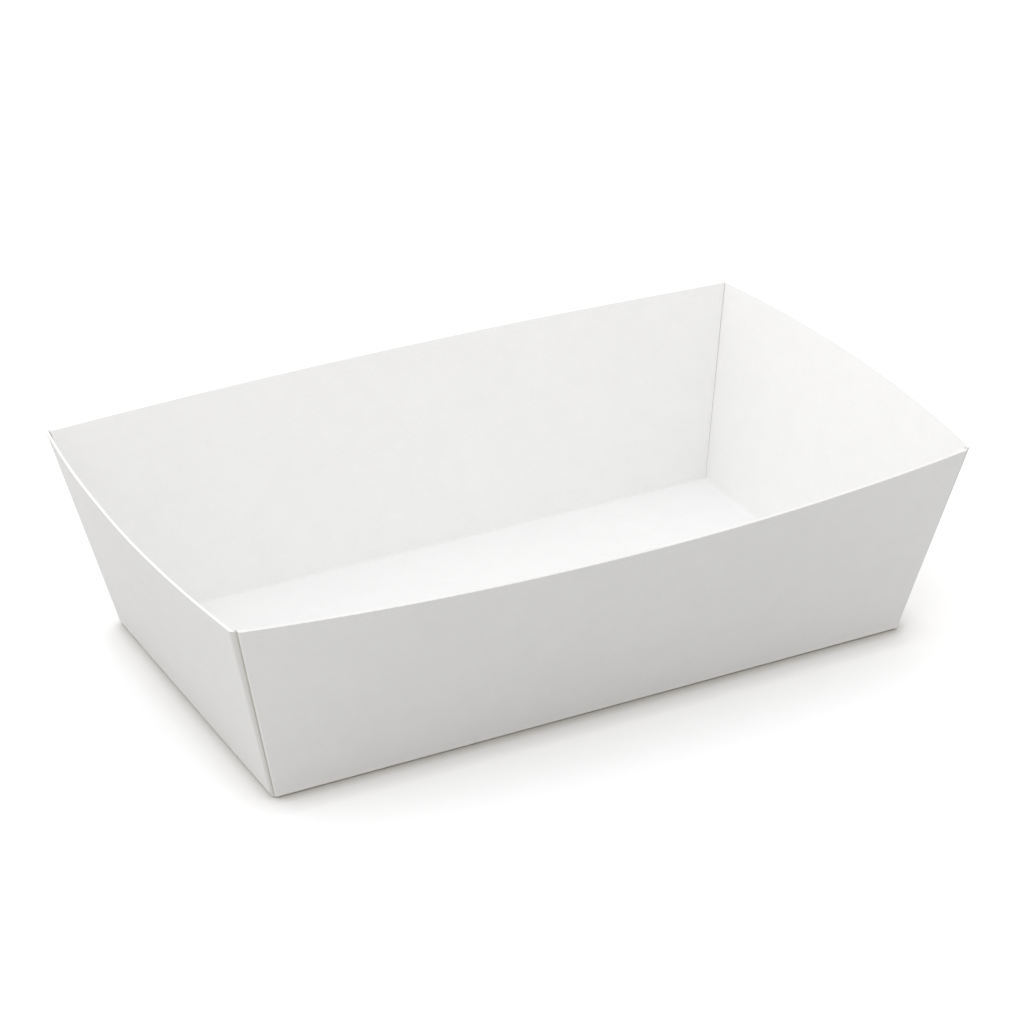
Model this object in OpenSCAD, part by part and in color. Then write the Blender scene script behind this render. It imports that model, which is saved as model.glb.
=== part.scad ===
// Open paperboard tray for fries, folded from one die-cut sheet.
// Each end wall turns both corners with a glue flap. The flaps lie inside the
// front wall and outside the back wall, so that the raw ends of the long walls
// show as seams: outside at the front corners, inside at the back corners.
// Origin: centre of the underside. X runs along the tray, Y from front to back.

/* [Size] */
// Length over the corners of the rim
rim_length = 180; // [166:1:240]
// Width over the corners of the rim
rim_width = 110; // [96:1:170]
// Length of the base
base_length = 158; // [100:1:164]
// Width of the base
base_width = 90; // [50:1:94]
// Height of the rim at its corners
height = 48; // [25:1:90]

/* [Board] */
// Thickness of the paperboard
board = 0.6; // [0.3:0.05:1]
// Inner radius of the creases round the base
crease_radius = 0.4; // [0.2:0.05:1]
// Inner radius of the upright corner folds
fold_radius = 0.4; // [0.2:0.05:1]

/* [Wall curve] */
// How far the middle of a long wall's rim stands out past its corners
long_bow = 6.8; // [0:0.1:10]
// How far the middle of a long wall's rim lies below its corners
long_dip = 1.4; // [0:0.1:4]
// How far the middle of an end wall's rim stands out past its corners
end_bow = 3.9; // [0:0.1:8]
// How far the middle of an end wall's rim rises above its corners
end_rise = 0.4; // [0:0.1:2]

/* [Corners] */
// Length of a glue flap past its corner
flap_length = 18; // [8:0.5:30]
// How far a flap's top and bottom edges close in towards its free end
flap_taper = 2.5; // [0:0.1:6]
// Radius of a flap's two free corners
flap_round = 4; // [1:0.1:8]
// Gap between the base and the bottom edge of a flap and its fold
flap_lift = 0.25; // [0.2:0.05:2]
// Glue line between a flap and its long wall
glue_line = 0.1; // [0.08:0.01:0.3]
// How far the front wall's raw end stops short of the corner, at the base
front_inset_low = 1.0; // [0.9:0.1:3]
// How far the front wall's raw end stops short of the corner, at the rim
front_inset_high = 1.6; // [0.9:0.1:4]
// Open seam between the back wall's raw end and the end wall's inner face
seam = 0.3; // [0.15:0.05:1]

/* [Smoothness] */
// Strips along a long wall
long_strips = 24; // [12:2:32]
// Strips along an end wall
end_strips = 16; // [8:2:20]
// Bands up a wall
wall_bands = 6; // [3:1:8]
// Bands round a crease or a fold
bend_bands = 4; // [3:1:5]
// Strips along a flap
flap_strips = 7; // [4:1:10]

/* [Hidden] */
FRONT = -1;
BACK = 1;
LEFT = -1;
RIGHT = 1;
// Whole numbers of strips and bands
long_cells = round(long_strips);
end_cells = round(end_strips);
wall_cells = round(wall_bands);
bend_cells = round(bend_bands);
flap_cells = round(flap_strips);
// Way out of an end wall and of a long wall at the corners, from base to rim
lean_x = (rim_length - base_length) / 2;
lean_y = (rim_width - base_width) / 2;
// The steeper wall's crease has the radius given, and the other's is a little
// rounder: both start this far in from the sharp edge of the base
steepest = atan(min(lean_x, lean_y) / height);
tangent = (crease_radius + board) * tan((90 - steepest) / 2);
flat_x = base_length / 2 - tangent;
flat_y = base_width / 2 - tangent;
fold_outer = fold_radius + board;
// Thickness of an end wall measured level
end_wall_level = board / cos(atan(lean_x / height));
// A flap's outer face, measured out from the long wall's outer face
flap_shift = board + glue_line;

function lerp(a, b, k) = a + (b - a) * k;
function unit(v) = v / norm(v);
function flat2(p) = [p.x, p.y];

// Half length and half width at the share v of the way from base to rim
function half_x(v) = base_length / 2 + lean_x * v;
function half_y(v) = base_width / 2 + lean_y * v;

// Point on the outer face of a long wall, and the outward normal there
function long_face(side, x, v) =
    let (u = x / half_x(v), out = 1 - u * u)
    [x, side * (half_y(v) + long_bow * v * out), v * (height - long_dip * out)];

function long_normal(side, x, v) =
    let (u = x / half_x(v), out = 1 - u * u, bend = 2 * v * u / half_x(v))
    let (along = [1, -side * long_bow * bend, long_dip * bend])
    let (up = [u * lean_x, side * (lean_y + long_bow * out), height - long_dip * out])
    -side * unit(cross(along, up));

// Point on the outer face of an end wall, and the outward normal there
function end_face(side, y, v) =
    let (u = y / half_y(v), out = 1 - u * u)
    [side * (half_x(v) + end_bow * v * out), y, v * (height + end_rise * out)];

function end_normal(side, y, v) =
    let (u = y / half_y(v), out = 1 - u * u, bend = 2 * v * u / half_y(v))
    let (along = [-side * end_bow * bend, 1, -end_rise * bend])
    let (up = [side * (lean_x + end_bow * out), u * lean_y, height + end_rise * out])
    side * unit(cross(along, up));

// Level step that leads to the parallel face at the distance d along the normal
function level_step(n, d) = [n.x, n.y, 0] * d / (n.x * n.x + n.y * n.y);

// Point of a flap at x, at the depth given below the flap's own outer face
function flap_point(side, x, v, depth) =
    let (shift = side * flap_shift)
    let (foot = x - level_step(long_normal(side, x, v), shift).x)
    let (n = long_normal(side, foot, v))
    long_face(side, foot, v) + level_step(n, shift) - depth * n;

// Upright corner fold at the share v: where the outer faces of the end wall and
// the flap would cross, the two directions away from there, and the half angle
function fold_frame(end, side, v) =
    let (p = flat2(end_face(end, side * half_y(v), v)))
    let (q = flat2(flap_point(side, end * half_x(v), v, 0)))
    let (ne = unit(flat2(end_normal(end, side * half_y(v), v))))
    let (nf = unit(flat2(long_normal(side, end * half_x(v), v))))
    let (d1 = -side * [-end * ne.y, end * ne.x], d2 = -end * [side * nf.y, -side * nf.x])
    let (reach = ((q - p) * nf) / (d1 * nf))
    [p + reach * d1, d1, d2, acos(d1 * d2) / 2];

// Distance from the crossing to where the fold's round starts
function fold_tangent(frame) = fold_outer / tan(frame[3]);

// Y of the end wall's side edge, and X of the flap's start, at the share v
function fold_y(end, side, v) =
    let (f = fold_frame(end, side, v))
    (f[0] + fold_tangent(f) * f[1]).y;
function fold_x(end, side, v) =
    let (f = fold_frame(end, side, v))
    (f[0] + fold_tangent(f) * f[2]).x;

// Point in the round of the fold, k from 0 at the end wall to 1 at the flap
function fold_round(end, side, v, k, depth) =
    let (f = fold_frame(end, side, v), t = fold_tangent(f))
    let (centre = f[0] + unit(f[1] + f[2]) * fold_outer / sin(f[3]))
    let (a = unit(f[0] + t * f[1] - centre), b = unit(f[0] + t * f[2] - centre))
    let (turn = 180 - 2 * f[3])
    let (n = (a * sin((1 - k) * turn) + b * sin(k * turn)) / sin(turn))
    let (p = centre + n * fold_outer)
    let (tilt = -(end * lean_x * n.x + side * lean_y * n.y) / height)
    [p.x, p.y, v * height] - depth * unit([n.x, n.y, tilt]);

// Share of the height above which the walls are straight and the folds start
crease_share = max(tangent / norm([lean_x, height]), (board + flap_lift) / height);
function wall_share(r) = lerp(crease_share, 1, r / wall_cells);

// Base crease: from p on the flat, round to the wall, about the sharp edge
function crease_round(edge, inward, up, k, depth) =
    let (half = acos(inward * up) / 2, radius = tangent * tan(half))
    let (centre = edge + unit(inward + up) * tangent / cos(half))
    let (a = unit(edge + tangent * inward - centre), b = unit(edge + tangent * up - centre))
    let (turn = 180 - 2 * half)
    centre + (radius - depth) * (a * sin((1 - k) * turn) + b * sin(k * turn)) / sin(turn);

// Long wall as a grid: r counts up from the flat of the base to the rim, and
// i counts along the wall
function inset(side, v) =
    side == FRONT ? lerp(front_inset_low, front_inset_high, v) : end_wall_level + seam;
function long_x(side, i, v) = (2 * i / long_cells - 1) * (half_x(v) - inset(side, v));
function flat_long_x(i) = (2 * i / long_cells - 1) * flat_x;

function long_point(side, r, i, depth) =
    r == 0 ? [flat_long_x(i), side * flat_y, depth]
    : r < bend_cells ? long_crease(side, i, r / bend_cells, depth)
    : let (v = wall_share(r - bend_cells), x = long_x(side, i, v))
      long_face(side, x, v) - depth * long_normal(side, x, v);

function long_crease(side, i, k, depth) =
    let (x = long_x(side, i, crease_share), foot = [x, side * base_width / 2, 0])
    let (up = unit(long_face(side, x, crease_share) - foot))
    let (p = crease_round(foot, [0, -side, 0], up, k, depth))
    [lerp(flat_long_x(i), p.x, k), p.y, p.z];

// End wall as a grid, between the tangent lines of its two corner folds
function end_y(end, j, v) =
    lerp(fold_y(end, FRONT, v), fold_y(end, BACK, v), j / end_cells);
function flat_end_y(j) = (2 * j / end_cells - 1) * flat_y;

function end_point(end, r, j, depth) =
    r == 0 ? [end * flat_x, flat_end_y(j), depth]
    : r < bend_cells ? end_crease(end, j, r / bend_cells, depth)
    : let (v = wall_share(r - bend_cells), y = end_y(end, j, v))
      end_face(end, y, v) - depth * end_normal(end, y, v);

function end_crease(end, j, k, depth) =
    let (y = end_y(end, j, crease_share), foot = [end * base_length / 2, y, 0])
    let (up = unit(end_face(end, y, crease_share) - foot))
    let (p = crease_round(foot, [-end, 0, 0], up, k, depth))
    [p.x, lerp(flat_end_y(j), p.y, k), p.z];

// Flap with its fold as a grid: column c counts from the end wall, round the
// fold and on to the flap's free end
function flap_column(end, side, r, c, depth) =
    c == 0 ? end_point(end, r + bend_cells, side == FRONT ? 0 : end_cells, depth)
    : c < bend_cells ? fold_round(end, side, wall_share(r), c / bend_cells, depth)
    : let (w = (c - bend_cells) / flap_cells, v = flap_share(r, w * flap_length))
      flap_point(side, fold_x(end, side, v) - end * w * flap_length, v, depth);

// The flap's edges close in with its length w, and its free corners are round
function corner_drop(w) =
    let (past = max(0, w - flap_length + flap_round))
    flap_round - sqrt(max(0, flap_round * flap_round - past * past));
function flap_share(r, w) =
    let (drop = (flap_taper * w / flap_length + corner_drop(w)) / height)
    lerp(crease_share + drop, 1 - drop, r / wall_cells);

// Sheet between two grids of points: outer face, inner face and raw edges.
// open says which sides carry on into the next sheet: [first row, last row,
// first column, last column]
function quad(a, b, c, d, flip) = flip ? [[a, c, b], [a, d, c]] : [[a, b, c], [a, c, d]];
function sheet_faces(rows, cols, base, flip, open) =
    let (n = rows * cols)
    [
        for (r = [0 : rows - 2], c = [0 : cols - 2])
            let (p = base + r * cols + c)
            each concat(
                quad(p, p + 1, p + cols + 1, p + cols, flip),
                quad(n + p, n + p + 1, n + p + cols + 1, n + p + cols, !flip)),
        for (c = [0 : cols - 2])
            let (p = base + c, q = base + (rows - 1) * cols + c)
            each concat(
                open[0] ? [] : quad(p, n + p, n + p + 1, p + 1, flip),
                open[1] ? [] : quad(q, n + q, n + q + 1, q + 1, !flip)),
        for (r = [0 : rows - 2])
            let (p = base + r * cols, q = p + cols - 1)
            each concat(
                open[2] ? [] : quad(p, n + p, n + p + cols, p + cols, !flip),
                open[3] ? [] : quad(q, n + q, n + q + cols, q + cols, flip))
    ];

// Every sheet as [rows, columns, points, flip, open sides]
function long_sheet(side) =
    let (rows = bend_cells + wall_cells + 1, cols = long_cells + 1)
    [rows, cols,
     [for (depth = [0, board], r = [0 : rows - 1], i = [0 : cols - 1])
         long_point(side, r, i, depth)],
     side == FRONT, [true, false, false, false]];

function end_sheet_low(end) =
    let (rows = bend_cells + 1, cols = end_cells + 1)
    [rows, cols,
     [for (depth = [0, board], r = [0 : rows - 1], j = [0 : cols - 1])
         end_point(end, r, j, depth)],
     end == RIGHT, [true, true, false, false]];

function end_sheet_high(end) =
    let (rows = wall_cells + 1, cols = end_cells + 1)
    [rows, cols,
     [for (depth = [0, board], r = [0 : rows - 1], j = [0 : cols - 1])
         end_point(end, r + bend_cells, j, depth)],
     end == RIGHT, [true, false, true, true]];

function flap_sheet(end, side) =
    let (rows = wall_cells + 1, cols = bend_cells + flap_cells + 1)
    [rows, cols,
     [for (depth = [0, board], r = [0 : rows - 1], c = [0 : cols - 1])
         flap_column(end, side, r, c, depth)],
     end * side > 0, [false, false, true, false]];

// Border of the flat base, in the order of its corners
function base_border(z) = concat(
    [for (i = [0 : 1 : long_cells]) [flat_long_x(i), FRONT * flat_y, z]],
    [for (j = [1 : 1 : end_cells]) [RIGHT * flat_x, flat_end_y(j), z]],
    [for (i = [long_cells - 1 : -1 : 0]) [flat_long_x(i), BACK * flat_y, z]],
    [for (j = [end_cells - 1 : -1 : 1]) [LEFT * flat_x, flat_end_y(j), z]]);

// One closed solid from the base and the sheets that carry on from it
module folded_sheet(sheets)
{
    under = base_border(0);
    floor_top = base_border(board);
    count = len(under);
    middle = [[0, 0, 0], [0, 0, board]];
    points = concat(under, floor_top, middle, [for (s = sheets) each s[2]]);
    starts = [
        for (i = 0, n = 2 * count + 2; i < len(sheets); n = n + len(sheets[i][2]), i = i + 1) n
    ];
    base_faces = [
        for (i = [0 : count - 1])
            let (j = (i + 1) % count)
            each [[i, j, 2 * count], [count + j, count + i, 2 * count + 1]]
    ];
    wall_faces = [
        for (i = [0 : len(sheets) - 1])
            each sheet_faces(sheets[i][0], sheets[i][1], starts[i], sheets[i][3], sheets[i][4])
    ];
    polyhedron(points = points, faces = concat(base_faces, wall_faces), convexity = 8);
}

module folded_tray()
{
    color([0.96, 0.96, 0.95])
        folded_sheet([
            long_sheet(FRONT),
            long_sheet(BACK),
            end_sheet_low(LEFT),
            end_sheet_low(RIGHT),
            end_sheet_high(LEFT),
            end_sheet_high(RIGHT),
            flap_sheet(LEFT, FRONT),
            flap_sheet(LEFT, BACK),
            flap_sheet(RIGHT, FRONT),
            flap_sheet(RIGHT, BACK),
        ]);
}

folded_tray();
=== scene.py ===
import math

import bmesh
import bpy
import numpy as np
from mathutils import Matrix, Vector


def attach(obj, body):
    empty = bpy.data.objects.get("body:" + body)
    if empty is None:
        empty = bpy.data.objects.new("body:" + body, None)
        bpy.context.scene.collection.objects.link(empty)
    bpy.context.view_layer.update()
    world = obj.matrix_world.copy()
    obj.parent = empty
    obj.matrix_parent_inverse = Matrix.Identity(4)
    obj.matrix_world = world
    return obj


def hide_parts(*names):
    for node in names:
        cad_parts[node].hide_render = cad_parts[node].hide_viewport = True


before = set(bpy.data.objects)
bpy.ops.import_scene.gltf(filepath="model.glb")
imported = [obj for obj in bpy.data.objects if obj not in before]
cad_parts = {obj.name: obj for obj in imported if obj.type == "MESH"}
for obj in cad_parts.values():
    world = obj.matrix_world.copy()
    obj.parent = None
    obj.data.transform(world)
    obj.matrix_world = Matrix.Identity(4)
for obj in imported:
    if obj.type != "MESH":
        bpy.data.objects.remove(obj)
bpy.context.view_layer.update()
print("frame loaded")

mm = 0.001
front, back, left, right = -1, 1, -1, 1


# the camera stands at the photograph's viewing angle
view = {
    "azimuth": -26.43,  # degrees round the tray from straight in front
    "elevation": 26.65,
    "roll": -1.15,
    "distance": 803.9,  # mm from the middle of the tray's underside
    "shiftRight": 0.92,  # mm that the camera stands aside of that line
    "shiftUp": 26.53,
    "lens": 121.19,
    "sensor": 36.0,
    "clip": (0.05, 20.0),  # m
}


def makeCamera():
    a, e, r = (math.radians(view[k]) for k in ("azimuth", "elevation", "roll"))
    out = Vector((math.sin(a) * math.cos(e), -math.cos(a) * math.cos(e), math.sin(e)))
    level = (-out).cross(Vector((0, 0, 1))).normalized()
    upright = level.cross(-out)
    across = level * math.cos(r) + upright * math.sin(r)
    above = upright * math.cos(r) - level * math.sin(r)
    data = bpy.data.cameras.new("camera")
    data.lens, data.sensor_width, data.sensor_fit = view["lens"], view["sensor"], "HORIZONTAL"
    data.clip_start, data.clip_end = view["clip"]
    camera = bpy.data.objects.new("camera", data)
    bpy.context.scene.collection.objects.link(camera)
    place = out * view["distance"] + across * view["shiftRight"] + above * view["shiftUp"]
    turn = Matrix((across, above, out)).transposed()
    camera.matrix_world = Matrix.Translation(place * mm) @ turn.to_4x4()
    bpy.context.scene.camera = camera


# soft studio light; directions are where the light comes from
light = {
    "world": ((1.0, 0.99, 0.976), 0.935),  # colour and strength
    "suns": [  # name, colour, strength, azimuth, elevation, angle across in degrees
        ("rear", (0.944, 0.985, 1.0), 0.341, 180, 70, 60),
        ("left", (0.73, 0.77, 1.0), 0.24, -90, 70, 60),
        ("lowLeft", (1.0, 0.967, 0.87), 0.256, -100, 15, 50),
    ],
}


def makeLight():
    scene = bpy.context.scene
    scene.view_settings.view_transform = "Standard"
    scene.world = bpy.data.worlds.new("surround")
    scene.world.use_nodes = True
    sky = scene.world.node_tree.nodes["Background"]
    sky.inputs["Color"].default_value = (*light["world"][0], 1)
    sky.inputs["Strength"].default_value = light["world"][1]
    for name, colour, strength, azimuth, elevation, angle in light["suns"]:
        data = bpy.data.lights.new(name, "SUN")
        data.color, data.energy, data.angle = colour, strength, math.radians(angle)
        lamp = bpy.data.objects.new(name, data)
        scene.collection.objects.link(lamp)
        a, e = math.radians(azimuth), math.radians(elevation)
        out = Vector((math.sin(a) * math.cos(e), -math.cos(a) * math.cos(e), math.sin(e)))
        lamp.rotation_mode = "QUATERNION"
        lamp.rotation_quaternion = (-out).to_track_quat("-Z", "Y")


makeCamera()
makeLight()
print("camera and light ready")


# sizes in millimetres; the first four rows are the CAD model's
tray = {
    "rimLength": 180.0, "rimWidth": 110.0, "baseLength": 158.0, "baseWidth": 90.0,
    "height": 48.0, "board": 0.6, "creaseRadius": 0.4,
    "longBow": 6.8, "longDip": 1.4, "endBow": 3.9, "endRise": 0.4,
    "flapLength": 18.0, "flapTaper": 2.5, "flapRound": 4.0, "flapLift": 0.25, "glueLine": 0.1,
    "foldRadius": 0.2,  # inside the corner folds
    "frontInsetLow": 0.6, "frontInsetHigh": 1.15,  # from the corner to the front wall's raw edge
    "seamLeft": 0.28, "seamRight": 0.01,  # between the back wall and the end walls
    "wornEdge": 0.05,  # how far a raw edge is rounded off
    "frontBevel": 0.34, "backBevel": 0.02,  # the same at the cut ends of the long walls
    "flutter": 0.22,  # how uneven the big panels are
}
# marks in the paper's colour, all of them painted shade or painted highlight: how strong they are
# from 0 to 1, and where they lie. A crease runs from -1 at the base to 0 at the wall
marks = {
    "shadeBefore": 0.5, "shadePast": 0.05,  # mm of painted shade before and past the raw edge, where the gap is in shade
    "shadeRim": 0.7,  # mm over which the painted shade fades along a flap's own raw edge
    "fold": 0.33, "foldFade": 0.25,  # painted shade on the corner folds beside the front wall
    "creaseShade": 0.15, "creaseShadeAt": -0.7,  # painted shade along the scored line inside a crease
    "creaseHighlight": 1.0, "creaseHighlightAt": -0.05,  # painted highlight along the line outside it
    "spread": 0.4,  # half the width of both lines
}
# how finely the mesh is divided
grain = {
    "along": 96, "across": 64, "up": 40, "bend": 8, "seam": 18, "flap": 12,
    "seamWidth": 2.2,  # mm beside a corner fold that get the seam's columns
    "crowd": 0.5, "upCrowd": 1.15, "flapCrowd": 1.4,  # how rows and columns crowd at the bends
    "firstRows": (0, 0.004), "nextRow": 0.012,  # shares of the height above a crease
    "weld": 1e-7,  # m
    "sharp": 32,  # degrees
}

board, height = tray["board"], tray["height"]
worn = tray["wornEdge"]
leanX = (tray["rimLength"] - tray["baseLength"]) / 2
leanY = (tray["rimWidth"] - tray["baseWidth"]) / 2
steepest = math.atan(min(leanX, leanY) / height)
tangent = (tray["creaseRadius"] + board) * math.tan((math.pi / 2 - steepest) / 2)
flatX = tray["baseLength"] / 2 - tangent
flatY = tray["baseWidth"] / 2 - tangent
foldOuter = tray["foldRadius"] + board
endWallLevel = board / math.cos(math.atan(leanX / height))
flapShift = board + tray["glueLine"]
creaseShare = max(tangent / math.hypot(leanX, height), (board + tray["flapLift"]) / height)


def lerp(a, b, k):
    return a + (b - a) * k


def unit(v):
    return v / np.linalg.norm(v, axis=-1, keepdims=True)


def stack(*parts):
    return np.stack(np.broadcast_arrays(*parts), axis=-1).astype(float)


def dot(a, b):
    return np.sum(a * b, axis=-1)


def halfX(v):
    return tray["baseLength"] / 2 + leanX * v


def halfY(v):
    return tray["baseWidth"] / 2 + leanY * v


# slow unevenness of a panel, from 0 to -1, and none along its sides and near its crease
def flutter(u, v, phase):
    waves = (
        np.sin(3.1 * u + 2.3 * v + phase)
        + 0.6 * np.sin(5.3 * u - 3.7 * v + 2.1 * phase)
        + 0.4 * np.sin(8.9 * u + 6.1 * v + 3.7 * phase)
    )
    hold = np.clip(1 - u * u, 0, 1) * np.clip(v / 0.3, 0, 1)
    return hold * (waves / 4 - 0.5)


def longFace(side, x, v):
    u = x / halfX(v)
    out = 1 - u * u
    swell = tray["flutter"] * flutter(u, v, 1.7 if side == front else 4.4)
    y = side * (halfY(v) + tray["longBow"] * v * out + swell)
    return stack(x, y, v * (height - tray["longDip"] * out))


def longNormal(side, x, v):
    u = x / halfX(v)
    out = 1 - u * u
    bend = 2 * v * u / halfX(v)
    along = stack(1.0, -side * tray["longBow"] * bend, tray["longDip"] * bend)
    up = stack(u * leanX, side * (leanY + tray["longBow"] * out), height - tray["longDip"] * out)
    return -side * unit(np.cross(along, up))


def endFace(side, y, v):
    u = y / halfY(v)
    out = 1 - u * u
    swell = tray["flutter"] * flutter(u, v, 0.6 if side == left else 2.9)
    x = side * (halfX(v) + tray["endBow"] * v * out + swell)
    return stack(x, y, v * (height + tray["endRise"] * out))


def endNormal(side, y, v):
    u = y / halfY(v)
    out = 1 - u * u
    bend = 2 * v * u / halfY(v)
    along = stack(-side * tray["endBow"] * bend, 1.0, -tray["endRise"] * bend)
    up = stack(side * (leanX + tray["endBow"] * out), u * leanY, height + tray["endRise"] * out)
    return side * unit(np.cross(along, up))


def levelStep(n, d):
    flat = n * np.array([1.0, 1.0, 0.0])
    return flat * (d / dot(flat, flat))[..., None]


def flapPoint(side, x, v, depth):
    shift = side * flapShift
    foot = x - levelStep(longNormal(side, x, v), shift)[..., 0]
    n = longNormal(side, foot, v)
    return longFace(side, foot, v) + levelStep(n, shift) - depth * n


# where an end wall and its flap would cross, the ways from there, and the half angle
def foldFrame(end, side, v):
    p = endFace(end, side * halfY(v), v)[..., :2]
    q = flapPoint(side, end * halfX(v), v, 0)[..., :2]
    ne = unit(endNormal(end, side * halfY(v), v)[..., :2])
    nf = unit(longNormal(side, end * halfX(v), v)[..., :2])
    d1 = -side * stack(-end * ne[..., 1], end * ne[..., 0])
    d2 = -end * stack(side * nf[..., 1], -side * nf[..., 0])
    reach = dot(q - p, nf) / dot(d1, nf)
    return p + reach[..., None] * d1, d1, d2, np.arccos(dot(d1, d2)) / 2


def foldY(end, side, v):
    p, d1, d2, half = foldFrame(end, side, v)
    return (p + (foldOuter / np.tan(half))[..., None] * d1)[..., 1]


def foldX(end, side, v):
    p, d1, d2, half = foldFrame(end, side, v)
    return (p + (foldOuter / np.tan(half))[..., None] * d2)[..., 0]


def foldRound(end, side, v, k, depth):
    p, d1, d2, half = foldFrame(end, side, v)
    reach = (foldOuter / np.tan(half))[..., None]
    centre = p + unit(d1 + d2) * (foldOuter / np.sin(half))[..., None]
    a, b = unit(p + reach * d1 - centre), unit(p + reach * d2 - centre)
    turn = math.pi - 2 * half
    n = a * np.sin((1 - k) * turn)[..., None] + b * np.sin(k * turn)[..., None]
    n = n / np.sin(turn)[..., None]
    at = centre + n * foldOuter
    tilt = -(end * leanX * n[..., 0] + side * leanY * n[..., 1]) / height
    inward = depth * unit(stack(n[..., 0], n[..., 1], tilt))
    return stack(at[..., 0], at[..., 1], v * height) - inward


def creaseRound(edge, inward, up, k, depth):
    half = np.arccos(dot(inward, up)) / 2
    radius = tangent * np.tan(half)
    centre = edge + unit(inward + up) * (tangent / np.cos(half))[..., None]
    a, b = unit(edge + tangent * inward - centre), unit(edge + tangent * up - centre)
    turn = math.pi - 2 * half
    n = a * np.sin((1 - k) * turn)[..., None] + b * np.sin(k * turn)[..., None]
    return centre + n * ((radius - depth) / np.sin(turn))[..., None]


# a wall's rows run from -1 at the flat base, by 0 at the top of the crease, to 1 at the rim
def inset(side, t, v):
    if side == front:
        return lerp(tray["frontInsetLow"], tray["frontInsetHigh"], v) + 0 * t
    return endWallLevel + np.where(t < 0, tray["seamLeft"], tray["seamRight"]) + 0 * v


def longPoint(side, s, t, depth):
    v = lerp(creaseShare, 1, np.clip(s, 0, 1))
    x = t * (halfX(v) - inset(side, t, v))
    wall = longFace(side, x, v) - depth * longNormal(side, x, v)
    k = 1 + np.clip(s, -1, 0)
    low = creaseShare + 0 * s
    x = t * (halfX(low) - inset(side, t, low))
    foot = stack(x, side * tray["baseWidth"] / 2, 0)
    up = unit(longFace(side, x, low) - foot)
    bead = creaseRound(foot, stack(0 * x, -side, 0), up, k, depth)
    bead[..., 0] = lerp(t * flatX, bead[..., 0], k)
    return np.where((s < 0)[..., None], bead, wall)


def endPoint(end, s, t, depth):
    v = lerp(creaseShare, 1, np.clip(s, 0, 1))
    y = lerp(foldY(end, front, v), foldY(end, back, v), (t + 1) / 2)
    wall = endFace(end, y, v) - depth * endNormal(end, y, v)
    k = 1 + np.clip(s, -1, 0)
    low = creaseShare + 0 * s
    y = lerp(foldY(end, front, low), foldY(end, back, low), (t + 1) / 2)
    foot = stack(end * tray["baseLength"] / 2, y, 0)
    up = unit(endFace(end, y, low) - foot)
    bead = creaseRound(foot, stack(-end, 0 * y, 0), up, k, depth)
    bead[..., 1] = lerp(t * flatY, bead[..., 1], k)
    return np.where((s < 0)[..., None], bead, wall)


# a flap's columns run from -1 at the end wall, by 0 at the end of the fold, to 1 at its free end
def flapPlace(end, side, s, c, depth):
    w = np.clip(c, 0, 1) * tray["flapLength"]
    past = np.clip(w - tray["flapLength"] + tray["flapRound"], 0, None)
    corner = tray["flapRound"] - np.sqrt(np.clip(tray["flapRound"] ** 2 - past ** 2, 0, None))
    drop = (tray["flapTaper"] * w / tray["flapLength"] + corner) / height
    v = lerp(creaseShare + drop, 1 - drop, s)
    panel = flapPoint(side, foldX(end, side, v) - end * w, v, depth)
    v = lerp(creaseShare, 1, s)
    bend = foldRound(end, side, v, 1 + np.clip(c, -1, 0), depth)
    start = endPoint(end, s, side + 0 * s, depth)
    turned = np.where((c < 0)[..., None], bend, panel)
    return np.where((c <= -1)[..., None], start, turned)


# painted shade on a flap, from where it lies: 1 beside and under the other wall's raw edge, where
# the gap is in shade, on its own raw edge only beside it, and a little along its corner fold
def paintedSeamShade(end, side, c, grid, rim):
    v = np.clip(grid[..., 2] / height, 0, 1)
    edge = halfX(v) - inset(side, end + 0 * v, v)
    under = edge - end * grid[..., 0] + marks["shadeBefore"]
    line = np.clip(under / (marks["shadeBefore"] + marks["shadePast"]), 0, 1)
    line = line * line * (3 - 2 * line)
    if rim:
        return line * np.clip(1.5 - under / marks["shadeRim"], 0, 1)
    return np.maximum(line, marks["fold"] * np.clip((c + 1) / marks["foldFade"], 0, 1))


# a wall's crease: painted shade along the score darkens the inside, and a painted highlight makes
# the outside paler, given below 0
def creaseShadeAndHighlight(s, depth):
    reach = np.where(s < 0, s, s * height / tangent)  # above the crease s counts wall heights
    if depth == 0:
        return -marks["creaseHighlight"] * np.exp(-(((reach - marks["creaseHighlightAt"]) / marks["spread"]) ** 2))
    return marks["creaseShade"] * np.exp(-(((reach - marks["creaseShadeAt"]) / marks["spread"]) ** 2))


points, faces, kinds, plies, paintedShadings = [], [], [], [], []
paperFace, cutFace = 0, 1


def addPoints(grid, ply, paintedShading=0.0):
    start = sum(len(p) for p in points)
    flat = grid.reshape(-1, 3)
    points.append(flat)
    plies.append(np.full(len(flat), ply))
    paintedShadings.append(np.broadcast_to(paintedShading, grid.shape[:-1]).reshape(-1))
    return start + np.arange(len(flat)).reshape(grid.shape[:-1])


def addStrip(a, b, kind):
    for i in range(len(a) - 1):
        faces.append((a[i], a[i + 1], b[i + 1], b[i]))
        kinds.append(kind)
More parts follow.
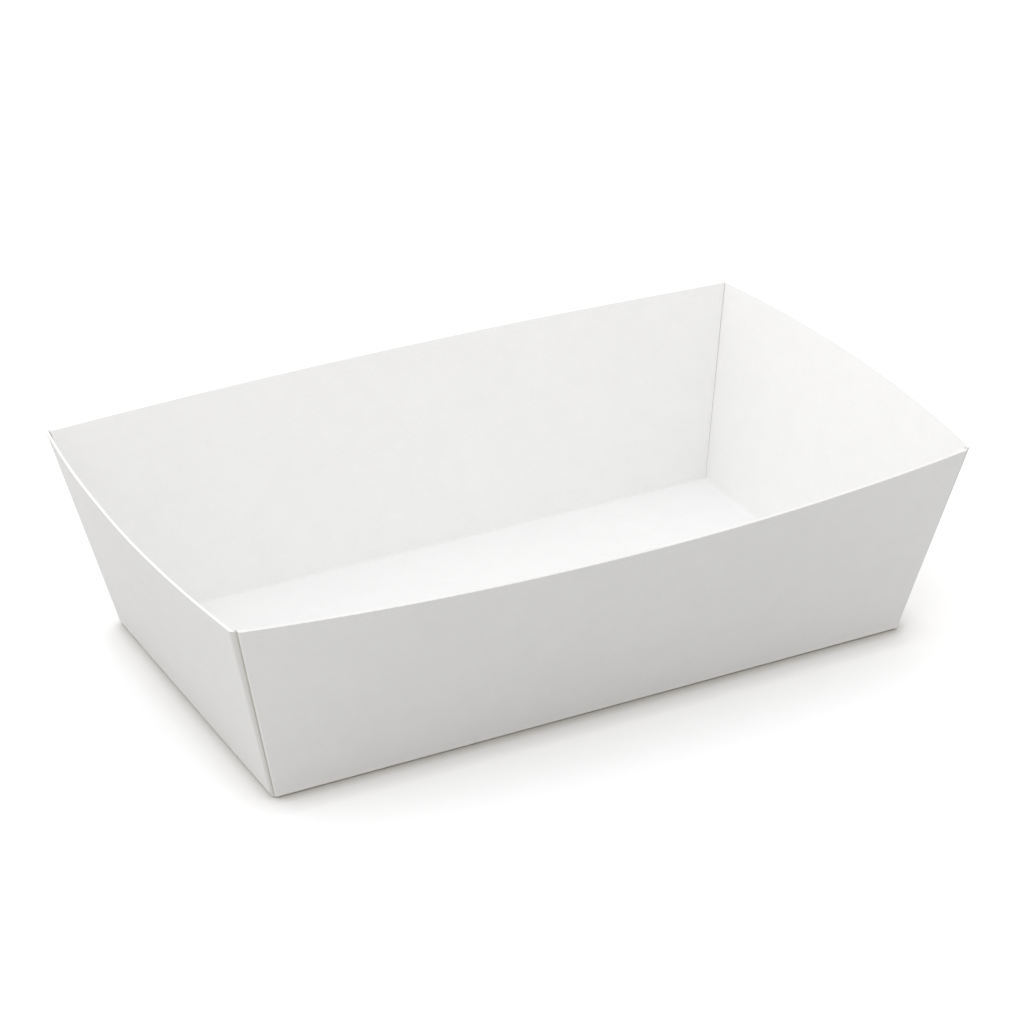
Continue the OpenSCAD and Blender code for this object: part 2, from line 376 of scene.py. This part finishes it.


# one sheet of board between rows s and columns t. raw names its cut sides, wholeEnd being an
# end that is cut along all its rows, and pull says by how much of s and t each face stops short
# of them. belowFlap keeps the last row whole, soft is the bevel's depth in mm, and the last
# argument names where painted shade and painted highlight go: the outer face, the inner face, or
# the crease
def addSheet(place, rows, cols, raw, pull, belowFlap=False, soft=worn, paintedShading=None, paintedOn=None):
    s, t = np.meshgrid(rows, cols, indexing="ij")
    short, narrow = s.copy(), t.copy()
    if "top" in raw:
        short[-1] -= pull[0]
    if "bottom" in raw:
        short[0, 1:] += pull[0]
    middle = slice(1, -1 if belowFlap else None)
    if "start" in raw:
        narrow[middle, 0] += pull[1]
    if "end" in raw:
        narrow[middle, -1] -= pull[1]
    if "wholeEnd" in raw:
        narrow[:, -1] -= pull[1]
    layers = []
    for name, depth in (("outer", 0.0), ("inner", board)):
        grid = place(short, narrow, depth)
        # painted shade on the chosen face, or painted shade and painted highlight along a crease
        dark = paintedShading(narrow, grid, False) if paintedOn == name else 0.0
        if paintedOn == "crease":
            dark = creaseShadeAndHighlight(s, depth)
        layers.append(addPoints(grid, depth / board, dark))
    outer, inner = layers
    for grid in (outer, inner):
        for r in range(len(rows) - 1):
            addStrip(grid[r], grid[r + 1], paperFace)
    rings = []
    for depth, atFoot in ((soft, worn), (board / 2, board / 2), (board - worn, board - worn)):
        grid = place(s, t, depth)
        grid[0] = place(s[:1], t[:1], atFoot)[0]  # the sheets meet at their feet
        # painted shade on the raw edges as well
        dark = paintedShading(t, grid, True) if paintedShading and paintedOn else 0.0
        rings.append(addPoints(grid, depth / board, dark))
    layers = [outer, *rings, inner]
    for a, b in zip(layers, layers[1:]):
        if "start" in raw:
            addStrip(a[:, 0], b[:, 0], cutFace)
        if "end" in raw or "wholeEnd" in raw:
            addStrip(a[:, -1], b[:, -1], cutFace)
        if "top" in raw:
            addStrip(a[-1], b[-1], cutFace)
        if "bottom" in raw:
            addStrip(a[0], b[0], cutFace)


# rows or columns that crowd towards both ends, where the bends are
def spaced(count, crowd):
    k = np.linspace(-1, 1, count + 1)
    return k + crowd * np.sin(math.pi * k) / math.pi


def buildTray():
    along, across = (spaced(grain[k], grain["crowd"]) for k in ("along", "across"))
    crease = np.linspace(-1, 0, grain["bend"] + 1)
    higher = np.linspace(grain["nextRow"], 1, grain["up"]) ** grain["upCrowd"]
    upward = np.concatenate([grain["firstRows"], higher])
    rise = worn / height
    low = np.concatenate([crease[:-1], upward])
    for side in (front, back):
        soft = tray["frontBevel" if side == front else "backBevel"]
        pull = (rise, soft / halfX(0.5))
        addSheet(
            lambda s, t, d: longPoint(side, s, t, d), low, along, ("start", "end", "top"), pull,
            soft=soft, paintedOn="crease",
        )
    for end in (left, right):
        def wall(s, t, d):
            return endPoint(end, s, t, d)
        pull = (rise, worn / halfY(0.5))
        addSheet(
            wall, crease, across, ("start", "end"), pull, belowFlap=True, paintedOn="crease",
        )
        addSheet(wall, upward, across, ("top",), pull, paintedOn="crease")
        for side in (front, back):
            turn = np.linspace(-1, 0, grain["bend"] + 1)
            near = grain["seamWidth"] / tray["flapLength"]
            fine = np.linspace(0, near, grain["seam"] + 1)[1:]
            wide = np.linspace(1, 0, grain["flap"] + 1)[1:] ** grain["flapCrowd"]
            columns = np.concatenate([turn, fine, 1 - (1 - near) * wide])
            addSheet(
                lambda s, c, d: flapPlace(end, side, s, c, d),
                upward, columns, ("top", "bottom", "wholeEnd"),
                (rise, worn / tray["flapLength"]),
                # painted shade on the front flaps' outer face, where the front wall's raw edge
                # leaves a gap in shade
                paintedShading=lambda c, grid, rim: paintedSeamShade(end, side, c, grid, rim),
                paintedOn="outer" if side == front else None,
            )
    x, y = np.meshgrid(along * flatX, across * flatY, indexing="ij")
    for z, ply in ((0.0, 0.0), (board, 1.0)):
        grid = addPoints(stack(x, y, z), ply)
        for r in range(len(along) - 1):
            addStrip(grid[r], grid[r + 1], paperFace)


def makeMesh(name):
    mesh = bpy.data.meshes.new(name)
    corners = [[int(i) for i in face] for face in faces]
    mesh.from_pydata((np.concatenate(points) * mm).tolist(), [], corners)
    mesh.polygons.foreach_set("material_index", kinds)
    # the second attribute holds painted shade above 0 and painted highlight below 0
    for label, values in (("ply", plies), ("paintedShading", paintedShadings)):
        layer = mesh.attributes.new(label, "FLOAT", "POINT")
        layer.data.foreach_set("value", np.concatenate(values))
    work = bmesh.new()
    work.from_mesh(mesh)
    bmesh.ops.remove_doubles(work, verts=work.verts, dist=grain["weld"])
    bmesh.ops.dissolve_degenerate(work, edges=work.edges, dist=grain["weld"])
    bmesh.ops.recalc_face_normals(work, faces=work.faces)
    loose = [e for e in work.edges if len(e.link_faces) != 2]
    print("tray mesh:", len(work.faces), "faces,", len(loose), "open edges")
    work.to_mesh(mesh)
    work.free()
    mesh.polygons.foreach_set("use_smooth", [True] * len(mesh.polygons))
    mesh.set_sharp_from_angle(angle=math.radians(grain["sharp"]))
    return mesh


# a node's socket that takes part in sums and products
class Field:
    def __init__(self, tree, socket):
        self.tree, self.socket = tree, socket

    def math(self, operation, a, b=None):
        node = self.tree.nodes.new("ShaderNodeMath")
        node.operation = operation
        for slot, value in zip(node.inputs, (a, b)):
            if isinstance(value, Field):
                self.tree.links.new(value.socket, slot)
            elif value is not None:
                slot.default_value = value
        return Field(self.tree, node.outputs[0])

    def __add__(self, other):
        return self.math("ADD", self, other)

    def __radd__(self, other):
        return self.math("ADD", other, self)

    def __sub__(self, other):
        return self.math("SUBTRACT", self, other)

    def __rsub__(self, other):
        return self.math("SUBTRACT", other, self)

    def __mul__(self, other):
        return self.math("MULTIPLY", self, other)

    def __rmul__(self, other):
        return self.math("MULTIPLY", other, self)

    def __pow__(self, other):
        return self.math("POWER", self, other)

    def __rpow__(self, other):
        return self.math("POWER", other, self)

    def __neg__(self):
        return self.math("MULTIPLY", self, -1.0)

    def size(self):
        return self.math("ABSOLUTE", self)

    def held(self, low, high):
        return self.math("MINIMUM", self.math("MAXIMUM", self, low), high)


# one material's node tree
class Look:
    def __init__(self, name):
        self.material = bpy.data.materials.new(name)
        self.material.use_nodes = True
        self.tree = self.material.node_tree
        self.tree.nodes.clear()

    def node(self, kind, settings, sockets):
        node = self.tree.nodes.new(kind)
        for key, value in settings.items():
            setattr(node, key, value)
        for key, value in sockets.items():
            if isinstance(value, Field):
                self.tree.links.new(value.socket, node.inputs[key])
            else:
                node.inputs[key].default_value = value
        return node

    def field(self, node, name):
        return Field(self.tree, node.outputs[name])

    def place(self):
        return self.field(self.node("ShaderNodeTexCoord", {}, {}), "Object")

    def stretched(self, place, amount):
        node = self.node("ShaderNodeVectorMath", {"operation": "MULTIPLY"}, {0: place, 1: amount})
        return self.field(node, "Vector")

    # noise about zero, whose blotches are about as wide as size in mm
    def noise(self, place, size, detail, rough):
        sockets = {"Vector": place, "Scale": 1 / (size * mm), "Detail": detail, "Roughness": rough}
        node = self.node("ShaderNodeTexNoise", {"noise_dimensions": "3D"}, sockets)
        return self.field(node, "Fac") - 0.5

    # a relief up to far in m
    def bumpy(self, height, strength, far):
        sockets = {"Strength": strength, "Distance": far, "Height": height}
        return self.field(self.node("ShaderNodeBump", {}, sockets), "Normal")

    def attribute(self, label):
        return self.field(self.node("ShaderNodeAttribute", {"attribute_name": label}, {}), "Fac")

    def tint(self, factor, a, b):
        a, b = (c if isinstance(c, Field) else (*c, 1) for c in (a, b))
        node = self.node("ShaderNodeMix", {"data_type": "RGBA"}, {0: factor, 6: a, 7: b})
        return Field(self.tree, node.outputs[2])

    def mixed(self, factor, a, b):
        shaders = {1: Field(self.tree, a.outputs[0]), 2: Field(self.tree, b.outputs[0])}
        return self.node("ShaderNodeMixShader", {}, {0: factor, **shaders})

    def close(self, shader):
        self.node("ShaderNodeOutputMaterial", {}, {"Surface": Field(self.tree, shader.outputs[0])})
        return self.material

    def finish(self, sockets):
        return self.close(self.node("ShaderNodeBsdfPrincipled", {}, sockets))


paper = {
    "shade": (0.86, 0.86, 0.853),  # the darkest blotches of the board
    "light": (0.94, 0.94, 0.933),  # and the palest
    "paintedShading": (0.66, 0.635, 0.575),  # painted shade beside a raw edge, on the corner folds and along a crease's score
    "worn": (0.99, 0.97, 0.94),  # painted highlight on the outside of the creases
    "roughness": 0.62, "specular": 0.35,
    "cutShade": (0.875, 0.865, 0.84),  # the same for the raw edge
    "cut": (0.98, 0.975, 0.965),
    # painted shade on a flap's raw edge beside the other wall's raw edge
    "cutPaintedShade": (0.48, 0.46, 0.42),
    "cutRoughness": 0.85, "cutSpecular": 0.2,
    "plies": 3.0,
}
# noises in the board: the size of their blotches in mm, detail and roughness
noises = {
    "cloud": (22, 3.0, 0.5),
    "blotch": (5.5, 4.0, 0.6),
    "speck": (0.55, 2.0, 0.5),
    "fibre": (1.6, 3.0, 0.7),
    "ragged": (0.5, 3.0, 0.7),  # on the raw edge
}
fibreStretch = (1.0, 1.0, 5.0)
paperBump = {"strength": 0.27, "far": 0.00012}
cutBump = {"strength": 0.4, "far": 0.0001}


def makePaper():
    look = Look("paperboard")
    place = look.place()
    cloud, blotch, speck = (look.noise(place, *noises[k]) for k in ("cloud", "blotch", "speck"))
    fibre = look.noise(look.stretched(place, fibreStretch), *noises["fibre"])
    tone = 0.5 + cloud * 0.35 + blotch * 0.45 + speck * 0.5 + fibre * 0.5
    relief = speck * 0.5 + fibre * 0.5 + blotch * 0.3
    paintedShading = look.attribute("paintedShading")
    clean = look.tint(tone.held(0, 1), paper["shade"], paper["light"])
    # painted shade from the attribute, mottled by the blotches
    shaded = look.tint((paintedShading * (0.95 + blotch * 0.5)).held(0, 1), clean, paper["paintedShading"])
    return look.finish({
        # painted highlight where the attribute is below 0
        "Base Color": look.tint((-paintedShading).held(0, 1), shaded, paper["worn"]),
        "Roughness": paper["roughness"] + cloud * 0.06 + speck * 0.08,
        "Specular IOR Level": paper["specular"],
        "Normal": look.bumpy(relief, **paperBump),
    })


def makeCut():
    look = Look("cut_edge")
    ragged = look.noise(look.place(), *noises["ragged"])
    layered = look.attribute("ply") * paper["plies"] + ragged * 0.9
    layers = (layered.math("FRACT", layered) - 0.5).size()
    tone = 0.55 + layers * 0.5 + ragged * 0.8
    clean = look.tint(tone.held(0, 1), paper["cutShade"], paper["cut"])
    return look.finish({
        # painted shade on the raw edge from the attribute
        "Base Color": look.tint(look.attribute("paintedShading").held(0, 1), clean, paper["cutPaintedShade"]),
        "Roughness": paper["cutRoughness"] + ragged * 0.1,
        "Specular IOR Level": paper["cutSpecular"],
        "Normal": look.bumpy(tone, **cutBump),
    })


buildTray()
piece = bpy.data.objects.new("paper_tray", makeMesh("paper_tray"))
bpy.context.scene.collection.objects.link(piece)
piece.data.materials.append(makePaper())
piece.data.materials.append(makeCut())
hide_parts("folded_tray")
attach(piece, "root")
print("tray ready")


# the floor is seen as plain white, and sends less light up at the tray than it shows
ground = {
    "seen": 1.12,
    "bounce": 0.5,
    "lean": (-0.05, 0.4, 1.0),  # the light leans from behind, so the shadow is deeper in front
    "creeps": ((0.008, 0.34), (0.0028, 0.26)),  # m from the tray to its end, how it deepens
    "least": 0.2,  # the smallest share of open sky that counts
    "dark": (0.14, 0.11, 0.06),  # what the floor turns to in the deepest shadow
    "half": 3.0,  # m
    "drop": 0.00003,  # m below the tray
    "samples": 8,
}


def makeFloor():
    look = Look("floor")
    path = look.node("ShaderNodeLightPath", {}, {})
    camera, glossy, through = (
        look.field(path, f"Is {kind} Ray") for kind in ("Camera", "Glossy", "Transmission")
    )
    direct = camera + glossy + through
    lean = look.node("ShaderNodeVectorMath", {"operation": "NORMALIZE"}, {0: ground["lean"]})
    clear = 1.0
    for distance, depth in ground["creeps"]:
        sockets = {"Distance": distance, "Normal": look.field(lean, "Vector")}
        settings = {"samples": ground["samples"]}
        near = look.node("ShaderNodeAmbientOcclusion", settings, sockets)
        clear = clear * look.field(near, "AO").held(ground["least"], 1) ** depth
    dark, white, dim = (
        look.node("ShaderNodeBsdfDiffuse", {}, {"Color": (*shade, 1)})
        for shade in (ground["dark"], (ground["seen"],) * 3, (ground["bounce"],) * 3)
    )
    shown = look.mixed(clear.held(0, 1), dark, white)
    look.close(look.mixed(direct.held(0, 1), dim, shown))
    h, z = ground["half"], -ground["drop"]
    mesh = bpy.data.meshes.new("floor")
    mesh.from_pydata([(-h, -h, z), (h, -h, z), (h, h, z), (-h, h, z)], [], [(0, 1, 2, 3)])
    mesh.materials.append(look.material)
    floor = bpy.data.objects.new("floor", mesh)
    bpy.context.scene.collection.objects.link(floor)


makeFloor()
print("floor ready")
